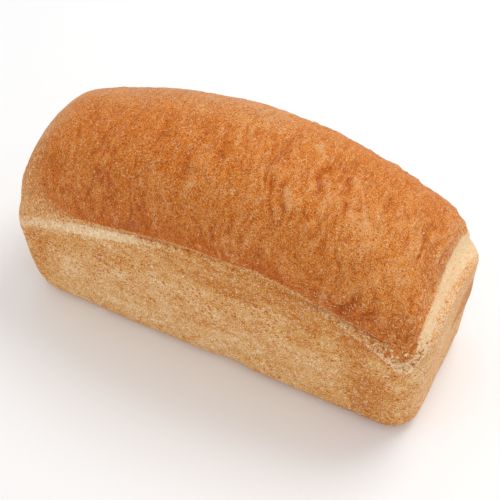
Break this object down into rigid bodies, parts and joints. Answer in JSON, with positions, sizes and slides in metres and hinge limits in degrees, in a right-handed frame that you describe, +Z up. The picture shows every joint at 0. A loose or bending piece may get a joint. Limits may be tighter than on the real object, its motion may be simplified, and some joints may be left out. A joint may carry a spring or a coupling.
{
  "type": "wholemeal tin loaf",
  "caption": "Uncut wholemeal tin loaf with flat flared walls, a pale shoulder round the rim and an arched browned crown.",
  "frame": {"origin": "middle of the flat base", "axes": "+X along the loaf towards the boxier end, +Z up, the front side wall faces -Y"},
  "size_m": [0.275, 0.1084, 0.1555],
  "materials": {
    "bread_crust": "matt baked wholemeal crust, orange-brown on the crown and pale tan on the walls, flecked with dark bran"
  },
  "bodies": {
    "root": {"loaf": "bread_crust"}
  },
  "joints": []
}
